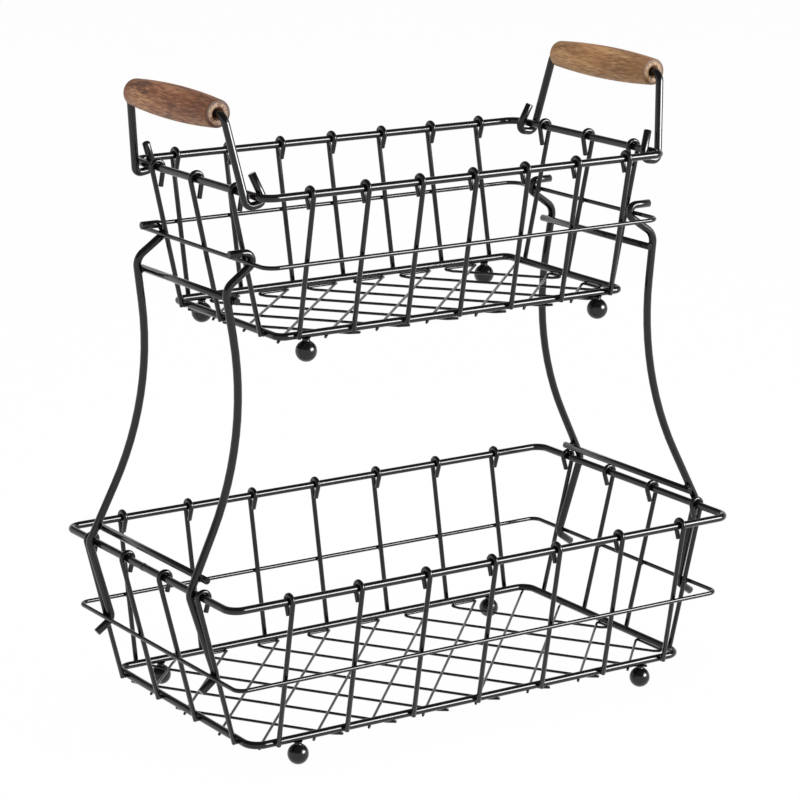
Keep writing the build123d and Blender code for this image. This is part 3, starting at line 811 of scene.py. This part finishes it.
def upright_line():
    """Corner points (x outward, z up), bend radii and straight runs of one upright."""
    to_hoop = (HOOP_WIRE + STAND_WIRE) / 2 + WELD_GAP
    upper_rim_z, lower_rim_z = UPPER.base_z + UPPER.depth, LOWER.base_z + LOWER.depth
    high_hoop = np.array([hoop_size(UPPER)[0] / 2, upper_rim_z - UPPER.hoop_drop])
    low_hoop = np.array([hoop_size(LOWER)[0] / 2, lower_rim_z - LOWER.hoop_drop])
    top = high_hoop - polar(STAND_TOP_CURL - to_hoop, STAND_TOP_CURL_END)
    rim_x = LOWER.rim_length / 2 + (RIM_WIRE + STAND_WIRE) / 2 + WELD_GAP
    rim = np.array([rim_x - STAND_RIM_BEND, lower_rim_z])
    low = low_hoop - polar(STAND_LOW_CURL - to_hoop, STAND_LOW_CURL_START)
    shoulder = high_hoop + (STAND_SHOULDER_OUT, -STAND_SHOULDER_DROP)
    gap = low - rim
    cross = np.degrees(np.arcsin((STAND_RIM_BEND + STAND_LOW_CURL) / np.linalg.norm(gap)))
    leg_heading = np.degrees(np.arctan2(gap[1], gap[0])) - cross
    runs = [
        (top + polar(STAND_TOP_CURL, 90), 180),
        (top + polar(STAND_TOP_CURL, STAND_TOP_CURL_END), STAND_TOP_CURL_END + 90),
        (shoulder, STAND_NECK_HEADING),
        (rim + polar(STAND_RIM_BEND, STAND_FLARE_HEADING + 90), STAND_FLARE_HEADING),
        (rim + polar(STAND_RIM_BEND, leg_heading + 90), leg_heading),
        (low + polar(STAND_LOW_CURL, STAND_LOW_CURL_END), STAND_LOW_CURL_END + 90),
    ]
    corners = [meet(run, other) for run, other in zip(runs[:-1], runs[1:])]
    tip = top + (STAND_TIP, STAND_TOP_CURL)
    tail = runs[-1][0] + polar(STAND_TAIL, runs[-1][1])
    bends = [STAND_TOP_CURL, STAND_SHOULDER_BEND, STAND_WAIST_BEND, STAND_RIM_BEND, STAND_LOW_CURL]
    return np.array([tip, *corners, tail]), bends, runs


high = UPPER.base_z + UPPER.depth - UPPER.hoop_drop
low = LOWER.base_z + LOWER.depth - LOWER.hoop_drop
LEAN_SHARE = (STAND_SPREAD_LOW - STAND_SPREAD_HIGH) / 2 / (high - low)
LEAN_FOOT = STAND_SPREAD_LOW / 2 + LEAN_SHARE * low
print("uprights lean together by", round(LEAN_SHARE, 4))

# %% Uprights
STAND_STEPS = 13
corners, bends, runs = upright_line()
for end_word, end in (("left", -1), ("right", 1)):
    for side_word, side in (("front", -1), ("back", 1)):
        x, z = corners[:, 0], corners[:, 1]
        points = np.stack([end * x, side * (LEAN_FOOT - LEAN_SHARE * z), z], 1)
        line = bent(points, bends, STAND_STEPS)
        add_wires(f"{end_word}_{side_word}_upright", [wire_skin(line, STAND_WIRE, (0, 1, 0), HEAVY_SIDES)])

# %% [markdown]
# ## Cross bars
# Two straight bars tie the uprights of each end together. They are welded on the basket side
# of the uprights, so from outside they pass behind them.

# %% Cross bars
UPPER_BAR_LENGTH, UPPER_BAR_DROP = 114.0, 21.2
LOWER_BAR_LENGTH, LOWER_BAR_LIFT = 134.0, 9.0
BAR_SIDES, BAR_WELD_WIDTH = 20, 4.8


def bar_skins(end, run, height, length):
    """A straight bar beside the uprights' straight run at this height, with its two welds."""
    point, heading = run
    beside = (STAND_WIRE + BAR_WIRE) / 2 + WELD_GAP
    centre = meet((point + polar(beside, heading - 90), heading), (np.array([0, height]), 0))
    line = np.array([[end * centre[0], y, height] for y in (-length / 2, length / 2)])
    spot = centre + polar(BAR_WIRE / 2, heading + 90)
    y = LEAN_FOOT - LEAN_SHARE * height
    out = polar(1, heading + 90)
    spots = np.array([[end * spot[0], side * y, spot[1]] for side in (-1, 1)])
    welds = weld_skins(spots, (end * out[0], 0, out[1]), BAR_WELD_WIDTH)
    return [wire_skin(line, BAR_WIRE, UP, BAR_SIDES), *welds]


for end_word, end in (("left", -1), ("right", 1)):
    add_wires(end_word + "_upper_bar", bar_skins(end, runs[2], high - UPPER_BAR_DROP, UPPER_BAR_LENGTH))
    add_wires(end_word + "_lower_bar",
              bar_skins(end, runs[3], LOWER.base_z + LOWER.depth + LOWER_BAR_LIFT, LOWER_BAR_LENGTH))

# %% [markdown]
# ## Swinging bails
# Each bail is one wire: an open hook round the upper rim, a leg, the bar that carries the
# grip, and the same again. At rest it leans outwards a little. It swings on its hooks, so it
# rides on its own body.

# %% Bails
BAIL_LEAN = 9.0
BAIL_LEG_OUT, BAIL_EYE_INNER, BAIL_EYE_BOTTOM = 5.4, 6.6, 5.4
BAIL_TIP_INNER, BAIL_TIP_RISE = 2.8, 12.1
BAIL_SPREAD, BAIL_TAPER_SHARE, BAIL_GRIP_HEIGHT = 129.0, 0.2, 46.7
BAIL_EYE_BEND, BAIL_CORNER_BEND, BAIL_STEPS = 4.0, 6.5, 11


def handle_points(end, u, y, v):
    """Handle coordinates (u outward, y along the rim, v up) to the frame, leaning outwards."""
    out, up = np.cos(np.radians(BAIL_LEAN)), np.sin(np.radians(BAIL_LEAN))
    rim_z = UPPER.base_z + UPPER.depth
    x = end * (UPPER.rim_length / 2 + u * out + v * up)
    return np.stack(np.broadcast_arrays(x, y, rim_z - u * up + v * out), -1)


def bail_skin(end):
    """The whole bail, its legs drawing together towards the grip."""
    u = np.array([-BAIL_TIP_INNER, -BAIL_EYE_INNER, BAIL_LEG_OUT, BAIL_LEG_OUT])
    v = np.array([BAIL_TIP_RISE, -BAIL_EYE_BOTTOM, -BAIL_EYE_BOTTOM, BAIL_GRIP_HEIGHT])
    y = BAIL_SPREAD / 2 - BAIL_TAPER_SHARE * v
    leg, other = handle_points(end, u, -y, v), handle_points(end, u, y, v)
    bends = [BAIL_EYE_BEND] * 2 + [BAIL_CORNER_BEND] * 2 + [BAIL_EYE_BEND] * 2
    line = bent(np.vstack([leg, other[::-1]]), bends, BAIL_STEPS)
    return wire_skin(line, BAIL_WIRE, (end, 1, -1), HEAVY_SIDES)


for end_word, end in (("left", -1), ("right", 1)):
    add_wires(end_word + "_bail", [bail_skin(end)], end_word + "_handle")

# %% [markdown]
# ## Turned grips
# A grip is a barrel with rounded ends, bored right through and countersunk at both mouths.
# As a surface it is a closed profile of distance along the bar and radius, turned about it.

# %% Grips
GRIP_PLAY = 0.1
GRIP_BORE = BAIL_WIRE + 2 * GRIP_PLAY
GRIP_SIDES, BARREL_STEPS, EDGE_STEPS = 48, 15, 7
MOUTH_BREAK, MOUTH_BREAK_DEPTH = 0.3, 0.1


def grip_profile():
    """Half the wall's outline: an arc of the barrel, a quarter-round edge, the end, the bore."""
    half, ends = GRIP_LENGTH / 2, GRIP_LENGTH / 2 - GRIP_EDGE
    rise = (GRIP_MIDDLE - GRIP_END) / 2
    bow = (ends**2 + rise**2) / (2 * rise)
    y = np.linspace(0, ends, BARREL_STEPS)
    barrel = np.stack([y, GRIP_MIDDLE / 2 - bow + np.sqrt(bow**2 - y**2)], 1)
    t = np.linspace(0, np.pi / 2, EDGE_STEPS)[1:]
    edge = np.stack([ends + GRIP_EDGE * np.sin(t), GRIP_END / 2 - GRIP_EDGE * (1 - np.cos(t))], 1)
    face = np.array([[half, (GRIP_END + GRIP_MOUTH) / 4], [half, GRIP_MOUTH / 2 + MOUTH_BREAK],
                     [half - MOUTH_BREAK_DEPTH, GRIP_MOUTH / 2],
                     [half - GRIP_MOUTH_DEPTH, GRIP_BORE / 2]])
    return np.vstack([barrel, edge, face])


def grip_skin(end):
    """P(s, a) = centre + y(s) along the bar + r(s) (cos(a), sin(a)) square to it."""
    right = grip_profile()
    left = right[1:][::-1] * (-1, 1)
    outline = np.vstack([right[::-1], left[::-1]])
    y, r = outline[:, 0], outline[:, 1]
    a = np.linspace(0, 2 * np.pi, GRIP_SIDES, endpoint=False)
    centre = handle_points(end, BAIL_LEG_OUT, 0, BAIL_GRIP_HEIGHT)
    x, z = r[:, None] * np.cos(a), r[:, None] * np.sin(a)
    points = centre + np.stack([x, np.broadcast_to(y[:, None], x.shape), z], -1)
    return Skin(points.reshape(-1, 3), grid_faces(len(y), GRIP_SIDES, True), []), centre


for end_word, end, finish in (("left", -1, RED_BROWN), ("right", 1, TAN)):
    skin, centre = grip_skin(end)
    turned_wood(finish, centre * MM)
    add_piece(end_word + "_turned_grip", [skin], end_word + "_barrel", finish.name,
              end_word + "_grip")

# %% [markdown]
# ## Camera
# The picture was taken from the left front corner, a little above the upper basket, through a
# long lens. These values came from matching the straight wires of the object.

# %% Camera
SENSOR_WIDTH, FOCAL_LENGTH, FAR_CLIP = 36.0, 138.887, 20.0
CAMERA_PLACE, CAMERA_TILT, CAMERA_HEADING = (-0.9931, -1.5387, 0.6465), 75.83, -32.84
lens = bpy.data.cameras.new("camera")
lens.sensor_width = SENSOR_WIDTH
lens.lens = FOCAL_LENGTH
lens.clip_end = FAR_CLIP
camera = bpy.data.objects.new("camera", lens)
camera.location = CAMERA_PLACE
camera.rotation_euler = Euler((np.radians(CAMERA_TILT), 0.0, np.radians(CAMERA_HEADING)))
bpy.context.collection.objects.link(camera)
bpy.context.scene.camera = camera
print("camera at", tuple(camera.location))

# %% [markdown]
# ## Floor, light and background
# The object stands on a plain white floor in a white studio. To the eye and to mirrors the
# floor glows evenly, and only a small share of its real shading is left for the shadow. The
# world does the same as a white backdrop. A soft box at the front right lights the object. A
# brighter band across its middle is seen by mirrors alone, and gives every wire that runs along
# X its white line without bleaching the wood. The lamps on the left and overhead are hidden from
# mirrors, so the tops of the wires mirror a dark ceiling, and upright wires the white backdrop.

# %% Floor
GLOW_SHARE, FLOOR_REACH = 0.97, 6.0


def seen(tree):
    """1 for the rays that the eye sees, directly, in a mirror or through glass, and else 0."""
    rays = node(tree, "ShaderNodeLightPath")
    mirror = node(tree, "ShaderNodeMath", {"operation": "MAXIMUM"},
                  {0: rays.outputs["Is Glossy Ray"], 1: rays.outputs["Is Transmission Ray"]})
    either = node(tree, "ShaderNodeMath", {"operation": "MAXIMUM"},
                  {0: rays.outputs["Is Camera Ray"], 1: mirror.outputs["Value"]})
    return either.outputs["Value"]


tree, output = new_material("white_floor")
share = node(tree, "ShaderNodeMath", {"operation": "MULTIPLY", 1: GLOW_SHARE}, {0: seen(tree)})
matt = node(tree, "ShaderNodeBsdfDiffuse", {"Color": linear("#f4f4f4")})
glow = node(tree, "ShaderNodeEmission", {"Color": linear("#ffffff"), "Strength": 1.0})
mixed = node(tree, "ShaderNodeMixShader", None,
             {"Fac": share.outputs["Value"], 1: matt.outputs["BSDF"], 2: glow.outputs["Emission"]})
tree.links.new(mixed.outputs["Shader"], output.inputs["Surface"])
square = [(x * FLOOR_REACH, y * FLOOR_REACH, 0) for x, y in ((-1, -1), (1, -1), (1, 1), (-1, 1))]
floor_mesh = bpy.data.meshes.new("studio_floor")
floor_mesh.from_pydata(square, [], [(0, 1, 2, 3)])
floor_mesh.materials.append(MATERIALS["white_floor"])
studio_floor = bpy.data.objects.new("studio_floor", floor_mesh)
bpy.context.collection.objects.link(studio_floor)
print("floor", 2 * FLOOR_REACH, "m wide")

# %% World: a white backdrop up to a sine of elevation, fading to a dark ceiling
ROOM_LIGHT, BACKDROP_TOP, CEILING = 0.15, 0.25, 0.45
world = bpy.data.worlds.new("studio")
world.use_nodes = True
bpy.context.scene.world = world
tree = world.node_tree
tree.nodes.clear()
sky = node(tree, "ShaderNodeTexCoord")
direction = node(tree, "ShaderNodeSeparateXYZ", None, {"Vector": sky.outputs["Generated"]})
fade = node(tree, "ShaderNodeMapRange",
            {"From Min": BACKDROP_TOP, "From Max": CEILING, "To Min": 1.0 - ROOM_LIGHT, "To Max": 0.0},
            {"Value": direction.outputs["Z"]})
strength = node(tree, "ShaderNodeMath", {"operation": "MULTIPLY_ADD", 2: ROOM_LIGHT},
                {0: seen(tree), 1: fade.outputs["Result"]})
backdrop = node(tree, "ShaderNodeBackground", {"Color": linear("#ffffff")},
                {"Strength": strength.outputs["Value"]})
node(tree, "ShaderNodeOutputWorld", None, {"Surface": backdrop.outputs["Background"]})
print("world has", len(tree.nodes), "nodes")

# %% Lamps
SoftBox = namedtuple("SoftBox", "name place width height watts diffuse glossy")
SOFT_BOXES = (
    SoftBox("front_soft_box", (1.42, -1.9, 1.0), 1.5, 1.8, 26.0, True, True),
    SoftBox("front_soft_box_mirrored", (1.42, -1.9, 0.95), 1.5, 0.8, 105.0, False, True),
    SoftBox("left_soft_box", (-2.2, -1.2, 1.3), 1.4, 1.4, 22.0, True, False),
    SoftBox("overhead_soft_box", (0.0, 0.0, 3.0), 6.0, 6.0, 140.0, True, False),
)
AIM = (0.0, 0.0, 0.2)


def hang(box):
    """An area lamp that faces the object, and may be left out of one kind of ray."""
    lamp = bpy.data.lights.new(box.name, "AREA")
    lamp.shape = "RECTANGLE"
    lamp.size, lamp.size_y, lamp.energy = box.width, box.height, box.watts
    hung = bpy.data.objects.new(box.name, lamp)
    hung.location = box.place
    aim = unit(np.array(AIM) - np.array(box.place))
    hung.rotation_euler = (np.arccos(-aim[2]), 0.0, np.arctan2(aim[0], -aim[1]) + np.pi)
    hung.visible_diffuse, hung.visible_glossy = box.diffuse, box.glossy
    bpy.context.collection.objects.link(hung)
    print(box.name, "at", box.place)


for box in SOFT_BOXES:
    hang(box)

# %% View transform
bpy.context.scene.view_settings.view_transform = "Standard"
